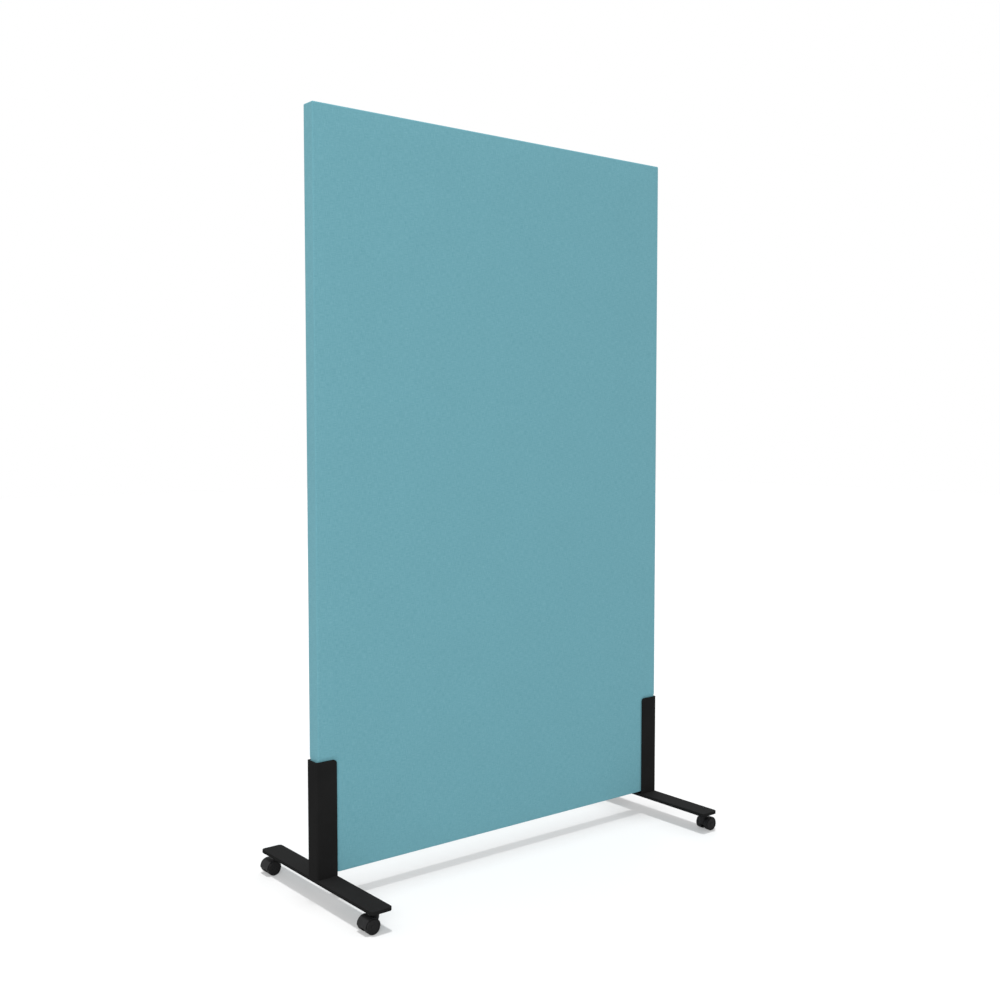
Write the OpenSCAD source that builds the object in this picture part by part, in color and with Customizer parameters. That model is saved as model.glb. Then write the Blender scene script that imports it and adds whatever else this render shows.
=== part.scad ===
// Rolling partition: an upholstered panel, held near the floor by two U-shaped
// steel posts on flat steel feet, which run on four small twin-wheel casters.
// Millimetres. X runs along the panel, Y from its front to its back, Z up.
// The origin is on the floor, at the middle of the footprint.

/* [Panel] */
// Width of the upholstered panel
panel_w = 1000; // [700:10:1400]
// Height of the panel
panel_h = 1600; // [1000:10:2000]
// Thickness of the panel over its fabric
panel_t = 36; // [32:1:50]
// Thickness of the cover fabric
cover_t = 1; // [0.6:0.1:1.4]
// Thickness of the wadding on each face
wadding_t = 3; // [2.8:0.2:6]
// Rounding of the panel's outer edges
panel_edge_r = 2.4; // [1.8:0.2:3]
// Gap between the foot and the panel's lower edge
panel_gap = 7; // [5:1:20]

/* [Frame] */
// Width of each upright of the wooden frame
stile_w = 45; // [40:1:60]
// Height of each rail of the wooden frame
rail_h = 45; // [38:1:70]
// Diameter of the dowels in the frame's joints
dowel_d = 8; // [6:1:10]
// Length of each dowel
dowel_l = 40; // [24:2:40]
// Distance between the two dowels of a joint
dowel_pitch = 24; // [16:1:26]
// Gap round the sound absorber in its bay
absorber_gap = 0.5; // [0.3:0.1:2]

/* [Posts] */
// Height of each post above its foot
post_h = 250; // [210:10:400]
// Length of a post's flange along the panel
flange_w = 50; // [40:1:50]
// Thickness of the post's sheet steel
post_wall = 3; // [2:0.5:4]
// Inner radius of the post's bends
bend_inner_r = 1; // [0.5:0.5:2]
// Radius of the flanges' upper corners
flange_corner_r = 8; // [2:1:16]
// How far each flange presses the padding in
pad_squeeze = 2; // [1:0.25:2.2]
// Play between the padding and a flange's free edge
press_gap = 0.5; // [0.2:0.1:2]
// Thickness of the packing strip between post and panel edge
packer_t = 2.5; // [1.5:0.5:5]
// How far the packing strip ends below the post's top
packer_drop = 5; // [1:1:20]
// Play between the packing strip and the post's bends
packer_side_gap = 1; // [0.5:0.5:4]
// Leg of the weld between post and foot
weld_leg = 3; // [2:0.5:4]
// Distance from the weld's end to the flange's free edge
weld_stop = 5; // [2:1:15]

/* [Post screws] */
// Number of screws through each post's rear flange
screw_count = 3; // [2:1:4]
// Thread diameter of the post screws
screw_d = 6; // [5:1:6]
// Length of the post screws under the head
screw_l = 16; // [14:1:18]
// Diameter of the button head
screw_head_d = 10.5; // [9:0.5:12]
// Height of the button head
screw_head_h = 3.3; // [2.6:0.1:4]
// Width across the flats of the hexagon socket
screw_socket_w = 4; // [3:0.5:5]
// Depth of the hexagon socket
screw_socket_depth = 2; // [1:0.1:2.4]
// Play of a screw in the flange's hole, on the radius
screw_play = 0.3; // [0.1:0.1:0.6]
// Height of the lowest screw above the panel's lower edge
screw_low = 53; // [50:1:70]
// Distance of the top screw below the post's top
screw_top_margin = 40; // [20:1:50]
// Outer diameter of the threaded inserts
insert_d = 10; // [9:0.5:12]
// Length of the threaded inserts
insert_l = 12; // [8:1:14]

/* [Feet] */
// Length of a foot plate, from front to back
foot_l = 460; // [360:10:600]
// Width of a foot plate
foot_w = 50; // [50:1:80]
// Thickness of a foot plate
foot_t = 8; // [6:1:12]
// Radius of a foot plate's corners
foot_corner_r = 8; // [4:1:16]
// Rounding of a foot plate's rims
foot_ease_r = 1; // [0.5:0.25:2]
// Distance from a foot's end to the caster's stem
caster_inset = 27; // [20:1:50]

/* [Casters] */
// Diameter of a caster wheel
wheel_d = 31; // [28:1:36]
// Width of one wheel
wheel_w = 14; // [12:0.5:16]
// Rounding of a wheel's tread edges
wheel_edge_r = 1.5; // [0.5:0.25:2.5]
// Height of the foot's underside above the top of the wheels
caster_rise = 11.5; // [10:0.5:20]
// Distance between the stem's axis and the axle
caster_trail = 15.5; // [13:0.5:17]
// Thickness of the plate between the two wheels
housing_web_t = 9.5; // [8:0.5:11]
// Running gap on each side of a wheel
wheel_side_gap = 0.5; // [0.3:0.1:1]
// Gap between a wheel's tread and the hood
hood_gap = 0.5; // [0.3:0.1:1]
// Wall of the hood
hood_wall = 1.6; // [1:0.1:2]
// How far a wheel stands out of the hood's side
wheel_proud = 3; // [0.5:0.25:4]
// Height of the hood's lower edge above the floor
hood_skirt_z = 14; // [8:0.5:15]
// Diameter of the housing's neck
neck_d = 16; // [16:0.5:20]
// Gap between the neck and the foot
neck_gap = 0.5; // [0.3:0.1:1.5]
// Radius of the boss round the axle
axle_boss_r = 5.5; // [4:0.5:6.5]
// Diameter of the axle
axle_d = 4; // [3:0.5:5]
// Radius of a wheel's hub
wheel_hub_r = 5; // [4:0.25:6]
// Wall under a wheel's tread
tread_wall = 3; // [2:0.25:4]
// Thickness of a wheel's outer face
wheel_face_t = 2.5; // [2:0.25:4]
// Depth of the dished ring in a wheel's outer face
wheel_dish = 0.8; // [0.4:0.1:1]
// Thickness of the wheel's closed end over its axle
axle_cap_t = 1.3; // [0.8:0.1:2]

/* [Caster stems] */
// Thread diameter of the caster's stem
stem_thread_d = 8; // [6:1:10]
// Foot material left over the blind threaded hole
foot_skin = 1.5; // [1:0.25:3]
// Diameter of the swivel pin
stem_pin_d = 8; // [6:0.5:9]
// Diameter of the stem's collar
stem_collar_d = 12; // [11:0.5:13]
// Thickness of the stem's collar
stem_collar_t = 2; // [1.5:0.25:3]
// Thickness of the retaining ring
ring_t = 1.2; // [0.8:0.1:1.6]
// Depth of the groove in the swivel pin
ring_groove = 0.8; // [0.5:0.1:1]
// How far the retaining ring stands out of the pin
ring_proud = 0.8; // [0.5:0.1:1]
// Opening of the retaining ring, in degrees
ring_opening = 40; // [20:5:60]

/* [Hidden] */
$fn = 64;

// Play of a running pin in its bore, on the radius
running_gap = 0.05;
// Play of a fitted pin in its hole, on the radius
fit_gap = 0.02;
// Free length past the end of a pin in a blind hole
end_gap = 0.5;
// Gap between the stem's collar and the housing that turns under it
bearing_gap = 0.1;
// Play round the retaining ring in the housing's groove
ring_play = 0.2;
// Play round the stem's collar in the housing's recess
collar_play = 0.5;
// How far a cutting solid runs past what it cuts
over = 1;

sides = ["left", "right"];
ends = ["front", "rear"];
post_pieces = ["foot", "post", "post_weld", "packing_strip", "post_screws", "post_inserts"];
caster_pieces = ["stem", "retaining_ring", "housing", "axle", "outer_wheel", "inner_wheel"];

// Levels above the floor
foot_z = wheel_d + caster_rise;
foot_top = foot_z + foot_t;
post_top = foot_top + post_h;
panel_z = foot_top + panel_gap;
panel_mid = panel_z + panel_h / 2;

// The panel's layers
skin_w = panel_w - 2 * cover_t;
skin_h = panel_h - 2 * cover_t;
skin_t = panel_t - 2 * cover_t;
skin_edge_r = panel_edge_r - cover_t;
frame_t = skin_t - 2 * wadding_t;
rail_l = skin_w - 2 * stile_w;
rail_rise = (skin_h - rail_h) / 2;
bay_h = rail_rise - rail_h;

// The posts, in plan
cavity_t = panel_t - 2 * pad_squeeze;
post_t = cavity_t + 2 * post_wall;
web_in = panel_w / 2 + packer_t;
web_out = web_in + post_wall;
flange_free = web_out - flange_w;
packer_w = cavity_t - 2 * (bend_inner_r + packer_side_gap);

// The post screws, on the flange's centreline
screw_x = web_out - flange_w / 2;
screw_z0 = panel_z + screw_low;
screw_pitch = (post_top - screw_top_margin - screw_z0) / (screw_count - 1);
screw_hole_r = screw_d / 2 + screw_play;
screw_tip_y = post_t / 2 - screw_l;

// The feet, flush with the posts' outer faces
foot_x = web_out - foot_w / 2;
stem_y = foot_l / 2 - caster_inset;

// The casters: x along the trail, from the stem's axis
axle_z = wheel_d / 2;
wheel_in = housing_web_t / 2 + wheel_side_gap;
axle_l = 2 * (wheel_in + wheel_w - axle_cap_t - end_gap);
hood_in_r = wheel_d / 2 + hood_gap;
hood_r = hood_in_r + hood_wall;
hood_w = 2 * (wheel_in + wheel_w - wheel_proud);
neck_top = foot_z - neck_gap;
pin_r = stem_pin_d / 2;
recess_floor = foot_z - stem_collar_t - bearing_gap;
hood_top_at_pin = axle_z + sqrt(pow(hood_r, 2) - pow(caster_trail - pin_r, 2));
socket_floor = hood_top_at_pin + hood_wall;
neck_floor = socket_floor - 2 * hood_wall;
ring_z = (recess_floor + socket_floor) / 2;

fabric_teal = "#6EA5B0";
wadding_white = "#E4E1D8";
absorber_grey = "#8D9196";
timber = "#D8B98A";
powder_black = "#212121";
nylon_black = "#2A2A2B";
rubber_black = "#333333";
screw_black = "#2C2C2D";
zinc = "#B9BCC0";
brass = "#C9A94F";

// ---- Shared shapes ----

// A rectangle with round corners, centred on the origin.
module rounded_rect(w, h, r) {
    square([w - 2 * r, h], center = true);
    square([w, h - 2 * r], center = true);
    for (x = [-1, 1], y = [-1, 1])
        translate([x * (w / 2 - r), y * (h / 2 - r)])
            circle(r = r);
}

// Stands a flat outline drawn in X and Z up, with its thickness centred on Y.
module upright(t) {
    rotate([90, 0, 0])
        linear_extrude(t, center = true)
            children();
}

// A box centred on the origin with every edge rounded.
module soft_box(w, t, h, r) {
    intersection() {
        linear_extrude(h, center = true)
            rounded_rect(w, t, r);
        upright(t)
            rounded_rect(w, h, r);
        rotate([90, 0, 90])
            linear_extrude(w, center = true)
                rounded_rect(t, h, r);
    }
}

// Draws its children, made for the right side, on the named side.
module on_side(side) {
    mirror([side == "left" ? 1 : 0, 0, 0])
        children();
}

// Draws its children, made for the rear end, at the named end.
module on_end(end) {
    mirror([0, end == "front" ? 1 : 0, 0])
        children();
}

// A cylinder along Y, from y = 0 to y = l.
module along_y(r, l) {
    rotate([-90, 0, 0])
        cylinder(r = r, h = l);
}

// ---- Panel ----

// Outline of a post's flange in X and Z, grown by a margin.
module flange_outline(grow) {
    r = flange_corner_r + grow;
    x0 = flange_free - grow;
    z0 = foot_top - over;
    z1 = post_top + grow;
    translate([x0 + r, z0])
        square([web_out + over - x0 - r, z1 - z0]);
    translate([x0, z0])
        square([r + over, z1 - r - z0]);
    translate([x0 + r, z1 - r])
        circle(r = r);
}

// What the four flanges press out of the padding, past half_t from the mid-plane.
module pressed_in(half_t, grow) {
    reach = panel_t / 2;
    for (side = sides, end = ends)
        on_side(side)
            on_end(end)
                translate([0, half_t + reach / 2, 0])
                    upright(reach)
                        flange_outline(grow);
}

// Holes along Y at a side's post screws, from y0 to y1.
module screw_holes(side, r, y0, y1) {
    on_side(side)
        for (i = [0 : screw_count - 1])
            translate([screw_x, y0, screw_z0 + i * screw_pitch])
                along_y(r, y1 - y0);
}

// The space inside the cover: frame and wadding together.
module inside_cover() {
    difference() {
        translate([0, 0, panel_mid])
            soft_box(skin_w, skin_t, skin_h, skin_edge_r);
        pressed_in(cavity_t / 2 - cover_t, press_gap + cover_t);
    }
}

module fabric_cover() {
    color(fabric_teal)
        difference() {
            translate([0, 0, panel_mid])
                soft_box(panel_w, panel_t, panel_h, panel_edge_r);
            pressed_in(cavity_t / 2, press_gap);
            inside_cover();
            for (side = sides)
                screw_holes(side, screw_hole_r, 0, panel_t);
        }
}

module wadding(end) {
    color(wadding_white)
        difference() {
            intersection() {
                inside_cover();
                on_end(end)
                    translate([-panel_w / 2, frame_t / 2, panel_z])
                        cube([panel_w, panel_t, panel_h]);
            }
            if (end == "rear")
                for (side = sides)
                    screw_holes(side, screw_hole_r, 0, panel_t);
        }
}

// ---- Wooden frame ----

// Pins along X at every joint between a rail and the stile of that side.
module joint_pins(side, r, l) {
    on_side(side)
        for (row = [-1, 0, 1], pin = [-1, 1])
            translate([rail_l / 2, 0, panel_mid + row * rail_rise + pin * dowel_pitch / 2])
                rotate([0, 90, 0])
                    cylinder(r = r, h = l, center = true);
}

module stile(side) {
    color(timber)
        difference() {
            translate([0, 0, panel_mid])
                intersection() {
                    on_side(side)
                        translate([(skin_w - stile_w) / 2, 0, 0])
                            cube([stile_w, frame_t, skin_h], center = true);
                    upright(frame_t)
                        rounded_rect(skin_w, skin_h, skin_edge_r);
                }
            joint_pins(side, dowel_d / 2 + fit_gap, dowel_l + 2 * end_gap);
            screw_holes(side, insert_d / 2 + fit_gap, frame_t / 2 - insert_l, frame_t / 2 + over);
            screw_holes(side, screw_hole_r, screw_tip_y - end_gap, frame_t / 2);
        }
}

// A rail in the given row: -1 is the bottom one, 0 the middle, 1 the top.
module rail(row) {
    color(timber)
        difference() {
            translate([0, 0, panel_mid + row * rail_rise])
                cube([rail_l, frame_t, rail_h], center = true);
            for (side = sides)
                joint_pins(side, dowel_d / 2 + fit_gap, dowel_l + 2 * end_gap);
        }
}

module frame_dowels() {
    color(timber)
        for (side = sides)
            joint_pins(side, dowel_d / 2, dowel_l);
}

// A slab of sound absorber in the bay below (-1) or above (1) the cross rail.
module absorber(row) {
    color(absorber_grey)
        translate([0, 0, panel_mid + row * rail_rise / 2])
            cube([rail_l - 2 * absorber_gap, frame_t, bay_h - 2 * absorber_gap], center = true);
}

// ---- Posts and feet ----

// Plan of a U from x0 to x1, with its web's corners rounded.
module u_plan(x0, x1, depth, r) {
    translate([x0, -depth / 2])
        square([x1 - r - x0, depth]);
    translate([x1 - r - over, r - depth / 2])
        square([r + over, depth - 2 * r]);
    for (y = [-1, 1])
        translate([x1 - r, y * (depth / 2 - r)])
            circle(r = r);
}

module post(side) {
    color(powder_black)
        difference() {
            on_side(side)
                intersection() {
                    translate([0, 0, foot_top])
                        linear_extrude(post_h)
                            difference() {
                                u_plan(flange_free, web_out, post_t, bend_inner_r + post_wall);
                                u_plan(flange_free - over, web_in, cavity_t, bend_inner_r);
                            }
                    upright(post_t + 2 * over)
                        flange_outline(0);
                }
            screw_holes(side, screw_hole_r, 0, post_t);
        }
}

// A weld's triangular section, between a wall at x = 0 and the foot at y = 0.
module weld_bead() {
    polygon([[0, 0], [-weld_leg, 0], [0, weld_leg]]);
}

// A fillet weld along the inside of the post's web and flanges.
module post_weld(side) {
    color(powder_black)
        on_side(side)
            intersection() {
                translate([0, 0, foot_top])
                    linear_extrude(weld_leg)
                        u_plan(flange_free, web_in, cavity_t, bend_inner_r);
                translate([web_in, 0, foot_top]) {
                    upright(cavity_t)
                        weld_bead();
                    for (end = ends)
                        on_end(end)
                            translate([flange_free + weld_stop - web_in, cavity_t / 2, 0])
                                rotate([90, 0, 90])
                                    linear_extrude(web_in - flange_free - weld_stop)
                                        weld_bead();
                }
            }
}

module packing_strip(side) {
    color(rubber_black)
        on_side(side)
            translate([panel_w / 2, -packer_w / 2, panel_z])
                cube([packer_t, packer_w, post_top - packer_drop - panel_z]);
}

// A plate with round corners and eased rims, from z = 0 up.
module eased_plate(w, l, t, corner_r, ease_r) {
    translate([0, 0, t / 2]) {
        for (x = [-1, 1], y = [-1, 1])
            translate([x * (w / 2 - corner_r), y * (l / 2 - corner_r), 0])
                rotate_extrude()
                    intersection() {
                        rounded_rect(2 * corner_r, t, ease_r);
                        translate([0, -t / 2])
                            square([corner_r, t]);
                    }
        rotate([90, 0, 0])
            linear_extrude(l - 2 * corner_r, center = true)
                rounded_rect(w, t, ease_r);
        rotate([90, 0, 90])
            linear_extrude(w - 2 * corner_r, center = true)
                rounded_rect(l, t, ease_r);
    }
}

module foot(side) {
    color(powder_black)
        on_side(side)
            translate([foot_x, 0, foot_z])
                difference() {
                    eased_plate(foot_w, foot_l, foot_t, foot_corner_r, foot_ease_r);
                    for (y = [-1, 1])
                        translate([0, y * stem_y, -over])
                            cylinder(r = stem_thread_d / 2 + fit_gap, h = over + foot_t - foot_skin);
                }
}

// ---- Post screws ----

// A button-head screw along Y: its head behind y = 0, its shank in front.
module button_screw() {
    head_r = screw_head_d / 2;
    dome_r = (pow(head_r, 2) + pow(screw_head_h, 2)) / (2 * screw_head_h);
    difference() {
        union() {
            intersection() {
                along_y(head_r, screw_head_h);
                translate([0, screw_head_h - dome_r, 0])
                    sphere(r = dome_r);
            }
            translate([0, -screw_l, 0])
                along_y(screw_d / 2, screw_l + over);
        }
        translate([0, screw_head_h - screw_socket_depth, 0])
            rotate([-90, 0, 0])
                cylinder(d = screw_socket_w / cos(30), h = screw_head_h, $fn = 6);
    }
}

module post_screws(side) {
    color(screw_black)
        on_side(side)
            for (i = [0 : screw_count - 1])
                translate([screw_x, post_t / 2, screw_z0 + i * screw_pitch])
                    button_screw();
}

module post_inserts(side) {
    color(brass)
        difference() {
            screw_holes(side, insert_d / 2, frame_t / 2 - insert_l, frame_t / 2);
            screw_holes(side, screw_d / 2 + fit_gap, frame_t / 2 - insert_l - over, frame_t / 2 + over);
        }
}

// ---- Casters: drawn at the stem's axis, trailing towards +X ----

module at_caster(side, end) {
    on_side(side)
        on_end(end)
            translate([foot_x, stem_y, 0])
                children();
}

// Moves its children to the axle, which runs along Y.
module at_axle() {
    translate([caster_trail, 0, axle_z])
        children();
}

module caster_stem() {
    groove_r = pin_r - ring_groove;
    color(zinc)
        difference() {
            union() {
                translate([0, 0, foot_z - stem_collar_t])
                    cylinder(r = stem_collar_d / 2, h = stem_collar_t);
                translate([0, 0, foot_z - stem_collar_t])
                    cylinder(r = stem_thread_d / 2, h = stem_collar_t + foot_t - foot_skin - end_gap);
                translate([0, 0, socket_floor + end_gap])
                    cylinder(r = pin_r, h = foot_z - stem_collar_t - socket_floor - end_gap + over);
            }
            rotate_extrude()
                translate([groove_r, ring_z - ring_t / 2])
                    square([pin_r, ring_t]);
        }
}

// A spring ring, open on one side, that snaps into the pin's groove.
module retaining_ring() {
    color(zinc)
        rotate([0, 0, ring_opening / 2])
            rotate_extrude(angle = 360 - ring_opening)
                translate([pin_r - ring_groove, ring_z - ring_t / 2])
                    square([ring_groove + ring_proud, ring_t]);
}

// The drum that hoods both wheels, cut off level above the floor.
module hood() {
    intersection() {
        at_axle()
            translate([0, -hood_w / 2, 0])
                along_y(hood_r, hood_w);
        translate([caster_trail - hood_r - over, -hood_w, hood_skirt_z])
            cube([2 * (hood_r + over), 2 * hood_w, 2 * hood_r]);
    }
}

// The neck that takes the stem, with a cone that runs out into the housing's web.
module neck() {
    neck_r = neck_d / 2;
    translate([0, 0, neck_floor])
        cylinder(r = neck_r, h = neck_top - neck_floor);
    translate([0, 0, axle_z])
        cylinder(r1 = housing_web_t / 2, r2 = neck_r, h = neck_floor - axle_z);
}

// What the stem, its collar and its ring take out of the neck.
module stem_socket() {
    translate([0, 0, recess_floor])
        cylinder(r = stem_collar_d / 2 + collar_play, h = foot_z - recess_floor);
    translate([0, 0, socket_floor])
        cylinder(r = pin_r + running_gap, h = foot_z - socket_floor);
    translate([0, 0, ring_z - ring_t / 2 - ring_play])
        cylinder(r = pin_r + ring_proud + ring_play, h = ring_t + 2 * ring_play);
}

module caster_housing() {
    color(nylon_black)
        difference() {
            union() {
                hood();
                neck();
                at_axle()
                    translate([0, -housing_web_t / 2, 0])
                        along_y(axle_boss_r, housing_web_t);
            }
            for (end = ends)
                on_end(end)
                    at_axle()
                        translate([0, housing_web_t / 2, 0])
                            along_y(hood_in_r, hood_w);
            at_axle()
                translate([0, -housing_web_t, 0])
                    along_y(axle_d / 2 + fit_gap, 2 * housing_web_t);
            stem_socket();
        }
}

module caster_axle() {
    color(zinc)
        at_axle()
            translate([0, -axle_l / 2, 0])
                along_y(axle_d / 2, axle_l);
}

// Half section of a wheel: radius along x, from its inner to its outer face along y.
module wheel_section() {
    tread_r = wheel_d / 2;
    rim_r = tread_r - tread_wall;
    difference() {
        intersection() {
            translate([0, wheel_w / 2])
                rounded_rect(wheel_d, wheel_w, wheel_edge_r);
            square([tread_r, wheel_w]);
        }
        translate([wheel_hub_r, -over])
            square([rim_r - wheel_hub_r, wheel_w - wheel_face_t + over]);
        translate([0, -over])
            square([axle_d / 2 + running_gap, wheel_w - axle_cap_t + over]);
        translate([wheel_hub_r, wheel_w - wheel_dish])
            square([rim_r - wheel_hub_r, wheel_dish + over]);
    }
}

// The outer wheel faces the foot's end, the inner one the panel.
module caster_wheel(place) {
    color(nylon_black)
        mirror([0, place == "inner" ? 1 : 0, 0])
            at_axle()
                translate([0, wheel_in, 0])
                    rotate([-90, 0, 0])
                        rotate_extrude()
                            wheel_section();
}

// ---- Drawing ----

for (side = sides) {
    stile(side);
    foot(side);
    post(side);
    post_weld(side);
    packing_strip(side);
    post_screws(side);
    post_inserts(side);
}
for (side = sides, end = ends) {
    name = str(side, "_", end, "_caster_");
    at_caster(side, end) caster_stem();
    at_caster(side, end) retaining_ring();
    at_caster(side, end) caster_housing();
    at_caster(side, end) caster_axle();
    at_caster(side, end) caster_wheel("outer");
    at_caster(side, end) caster_wheel("inner");
}
rail(1);  // top_rail
rail(0);  // cross_rail
rail(-1);  // bottom_rail
frame_dowels();
absorber(1);  // upper_absorber
absorber(-1);  // lower_absorber
wadding("front");  // front_wadding
wadding("rear");  // rear_wadding
fabric_cover();
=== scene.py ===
"""Looks of the rolling partition: a padded board in two steel posts, on four casters.

Metres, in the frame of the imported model: X runs along the panel, Y from its front to
its back, Z up from the floor. Sizes of the pieces are written in millimetres, times MM.
"""

import logging
import math
from collections.abc import Callable, Iterable, Sequence
from dataclasses import dataclass
from enum import Enum
from functools import partial

import bmesh
import bpy
import numpy as np
from bpy.types import ID, Material, Mesh, Node, NodeSocket, NodeTree, Object
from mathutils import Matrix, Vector


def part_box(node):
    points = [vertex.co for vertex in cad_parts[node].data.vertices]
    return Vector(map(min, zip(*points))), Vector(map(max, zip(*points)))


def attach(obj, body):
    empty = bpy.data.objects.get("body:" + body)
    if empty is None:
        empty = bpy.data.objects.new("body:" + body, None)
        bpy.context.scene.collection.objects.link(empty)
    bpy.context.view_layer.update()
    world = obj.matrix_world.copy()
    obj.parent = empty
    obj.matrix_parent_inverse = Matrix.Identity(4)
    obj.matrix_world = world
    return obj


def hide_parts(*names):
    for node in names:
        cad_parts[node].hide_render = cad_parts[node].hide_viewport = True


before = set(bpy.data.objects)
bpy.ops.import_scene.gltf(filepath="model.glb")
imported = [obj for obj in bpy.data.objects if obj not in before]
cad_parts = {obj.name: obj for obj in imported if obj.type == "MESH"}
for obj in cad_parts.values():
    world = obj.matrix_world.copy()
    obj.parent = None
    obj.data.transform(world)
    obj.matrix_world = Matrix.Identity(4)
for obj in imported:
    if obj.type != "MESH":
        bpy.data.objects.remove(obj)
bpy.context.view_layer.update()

MM = 0.001
LOG = logging.getLogger("rolling_partition")
Array = np.ndarray
Point = tuple[float, float, float]
Inputs = dict[str | int, object]
Maker = Callable[..., Node]


class Side(Enum):
    """The panel's two ends, with the sign of X there."""

    LEFT = -1
    RIGHT = 1


class Face(Enum):
    """The panel's two faces, with the sign of Y there."""

    FRONT = -1
    REAR = 1


class Grain(Enum):
    """Which way the fibres of a piece of timber run, as the turn that brings them to X."""

    ALONG_X = (0.0, 0.0, 0.0)
    ALONG_Z = (0.0, math.pi / 2, 0.0)


# ---- Nodes, colours and meshes ----


def linear(colour: str) -> tuple[float, ...]:
    """Turns an sRGB colour to the linear one that the shaders take.

    Args:
        colour: Six hex digits after a number sign.

    Returns:
        Red, green, blue and an alpha of 1.
    """
    parts = [int(colour[i : i + 2], 16) / 255 for i in (1, 3, 5)]
    red, green, blue = (c / 12.92 if c <= 0.04045 else ((c + 0.055) / 1.055) ** 2.4 for c in parts)
    return red, green, blue, 1.0


def set_all(target: object, values: dict[str, object]) -> None:
    """Sets several properties of one thing."""
    for name, value in values.items():
        setattr(target, name, value)


def feed(node: Node, inputs: Inputs) -> None:
    """Sets and links a node's inputs.

    Args:
        node: The node.
        inputs: For a socket's name or number, the value it holds, the output that feeds
            it, or the node whose first output does.
    """
    for key, value in inputs.items():
        source = value.outputs[0] if isinstance(value, Node) else value
        if isinstance(source, NodeSocket):
            node.id_data.links.new(source, node.inputs[key])
        else:
            node.inputs[key].default_value = source


def add_node(
    tree: NodeTree, kind: str, inputs: Inputs | None = None, **settings: object
) -> Node:
    """Adds a node with its settings and its links.

    Args:
        tree: Where the node goes.
        kind: The node's type.
        inputs: What its sockets hold or take, as for feed.
        settings: The node's own properties.

    Returns:
        The new node.
    """
    made = tree.nodes.new(kind)
    set_all(made, settings)
    feed(made, inputs or {})
    return made


def grid_lines(*stops: tuple[float, float]) -> list[float]:
    """Lays out grid lines through set places.

    Args:
        stops: Places in rising order, each with the longest step allowed before it.

    Returns:
        Every line's place.
    """
    lines = [stops[0][0]]
    for place, step in stops[1:]:
        start = lines[-1]
        count = max(1, math.ceil((place - start) / step - 1e-6))
        lines += [start + (place - start) * (i + 1) / count for i in range(count)]
    return lines


def bends(radius: float, count: int) -> list[float]:
    """Distances past a rounded edge's start at which lines cut its arc into equal parts."""
    return [radius * math.tan(math.radians(45 * (i + 1) / count)) for i in range(count)]


def both_ways(half: Sequence[float]) -> Array:
    """Mirrors lines that start at 0 to the negative side too."""
    return np.array([-x for x in reversed(half[1:])] + list(half))


def smooth_step(x: Array) -> Array:
    """Rises softly from 0 to 1 as x goes from 0 to 1."""
    t = np.clip(x, 0, 1)
    return t * t * (3 - 2 * t)


def spline_weights(t: Array) -> list[Array]:
    """Weights of four neighbouring values for a smooth curve between the middle two."""
    return [(1 - t) ** 3 / 6, (3 * t**3 - 6 * t**2 + 4) / 6,
            (-3 * t**3 + 3 * t**2 + 3 * t + 1) / 6, t**3 / 6]


class Shell:
    """Gathers grids of points into one closed mesh."""

    def __init__(self) -> None:
        """Starts with no faces."""
        self.points: list[Point] = []
        self.faces: list[tuple[int, ...]] = []
        self.corners: list[tuple[float, float]] = []

    def grid(self, points: Array, across: Array, up: Array, turned: bool,
             open_cells: Iterable[tuple[int, int]] = ()) -> None:
        """Adds a sheet of four-sided faces.

        Args:
            points: Rows by columns by three coordinates.
            across: Distance across the cloth of each row.
            up: Distance up the cloth of each column.
            turned: Whether the faces look the other way.
            open_cells: Faces that are left out, by row and column.
        """
        rows, columns = points.shape[:2]
        first = len(self.points)
        self.points += map(tuple, points.reshape(-1, 3).tolist())
        left_out = set(open_cells)
        for i, j in np.ndindex(rows - 1, columns - 1):
            if (i, j) not in left_out:
                at = [(i, j), (i + 1, j), (i + 1, j + 1), (i, j + 1)][:: -1 if turned else 1]
                self.faces.append(tuple(first + a * columns + b for a, b in at))
                self.corners += [(float(across[a]), float(up[b])) for a, b in at]

    def rim(self, outer: Array, inner: Array, turned: bool) -> None:
        """Closes the wall between two rings of points, each of which goes round once."""
        ring = np.stack([np.vstack([r, r[:1]]) for r in (outer, inner)], axis=1)
        self.grid(ring, np.linspace(0, 1, len(ring)) * MM, np.array([0, MM]), turned)

    def finish(self, name: str, material: Material) -> Object:
        """Merges the grids' shared edges and makes the piece.

        Args:
            name: The piece's name.
            material: Its finish.

        Returns:
            The new object, at the origin.
        """
        mesh = bpy.data.meshes.new(name)
        mesh.from_pydata(self.points, [], self.faces)
        layer = mesh.uv_layers.new(name="cloth")
        layer.uv.foreach_set("vector", np.array(self.corners, dtype=np.float32).ravel())
        work = bmesh.new()
        work.from_mesh(mesh)
        bmesh.ops.remove_doubles(work, verts=work.verts, dist=0.01 * MM)
        work.to_mesh(mesh)
        work.free()
        return smooth_piece(name, mesh, material)


def add_object(name: str, data: ID) -> Object:
    """Puts a new object in the scene.

    Args:
        name: Its name.
        data: What it holds.

    Returns:
        The object.
    """
    made = bpy.data.objects.new(name, data)
    bpy.context.scene.collection.objects.link(made)
    return made


def smooth_piece(name: str, mesh: Mesh, material: Material) -> Object:
    """Makes a smooth piece of a mesh that is already in place.

    Args:
        name: The piece's name.
        mesh: Its mesh.
        material: Its finish.

    Returns:
        The new object.
    """
    mesh.materials.clear()
    mesh.materials.append(material)
    mesh.shade_smooth()
    return add_object(name, mesh)


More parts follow.
